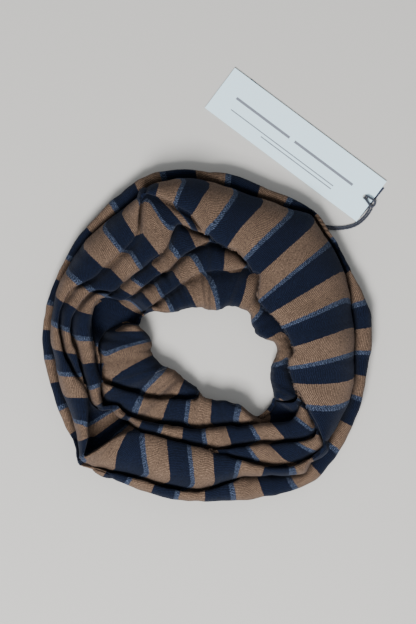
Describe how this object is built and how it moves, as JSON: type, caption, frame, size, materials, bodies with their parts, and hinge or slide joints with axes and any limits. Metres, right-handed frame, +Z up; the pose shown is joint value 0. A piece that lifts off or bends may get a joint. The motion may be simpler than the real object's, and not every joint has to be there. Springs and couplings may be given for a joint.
{
  "type": "neck gaiter",
  "caption": "Doubled tube of striped fine-knit jersey, collapsed in a loose ring with an open middle, with swing cards on a looped string.",
  "frame": {"origin": "on the surface that the gaiter lies on, under the middle of the ring's outline", "axes": "+Z up out of the surface, through the neck opening; +Y towards the side that the swing cards lie on; +X to the right with the cards ahead"},
  "size_m": [0.2735, 0.3439, 0.044],
  "materials": {
    "knit_face": "striped fine jersey, navy, brown and a twisted blue line, soft and matt",
    "knit_lining": "striped fine jersey, the same cloth as the outside",
    "sewing_thread": "polyester thread, satin",
    "label_tape": "woven satin tape",
    "tag_string": "twisted waxed string, satin",
    "front_board": "uncoated white paper board, matt",
    "back_board": "dark printed paper board, matt"
  },
  "bodies": {
    "gaiter": {"knit_tube_face": "knit_face", "knit_tube_lining": "knit_lining", "edge_seam_thread": "sewing_thread", "turning_gap_stitch": "sewing_thread", "loop_seam_thread": "sewing_thread", "care_label": "label_tape", "label_bartack": "sewing_thread"},
    "string": {"cord_knot": "tag_string", "tag_cord_left": "tag_string", "tag_cord_right": "tag_string"},
    "tag": {"tag_hitch": "tag_string", "front_card": "front_board"},
    "back_tag": {"back_card": "back_board"}
  },
  "joints": [
    {"name": "string_swing", "type": "hinge", "parent": "gaiter", "child": "string", "pos_m": [0.09071, 0.08462, 0.0021], "axis": [0, 0, 1], "range_deg": [-20, 8]},
    {"name": "tag_flip", "type": "hinge", "parent": "string", "child": "tag", "pos_m": [0.13131, 0.10152, 0.002], "axis": [0.6, 0.8, 0], "range_deg": [0, 180]},
    {"name": "back_card_fan", "type": "hinge", "parent": "tag", "child": "back_tag", "pos_m": [0.12671, 0.10962, 0.0003], "axis": [0, 0, 1], "range_deg": [-60, 2]}
  ]
}
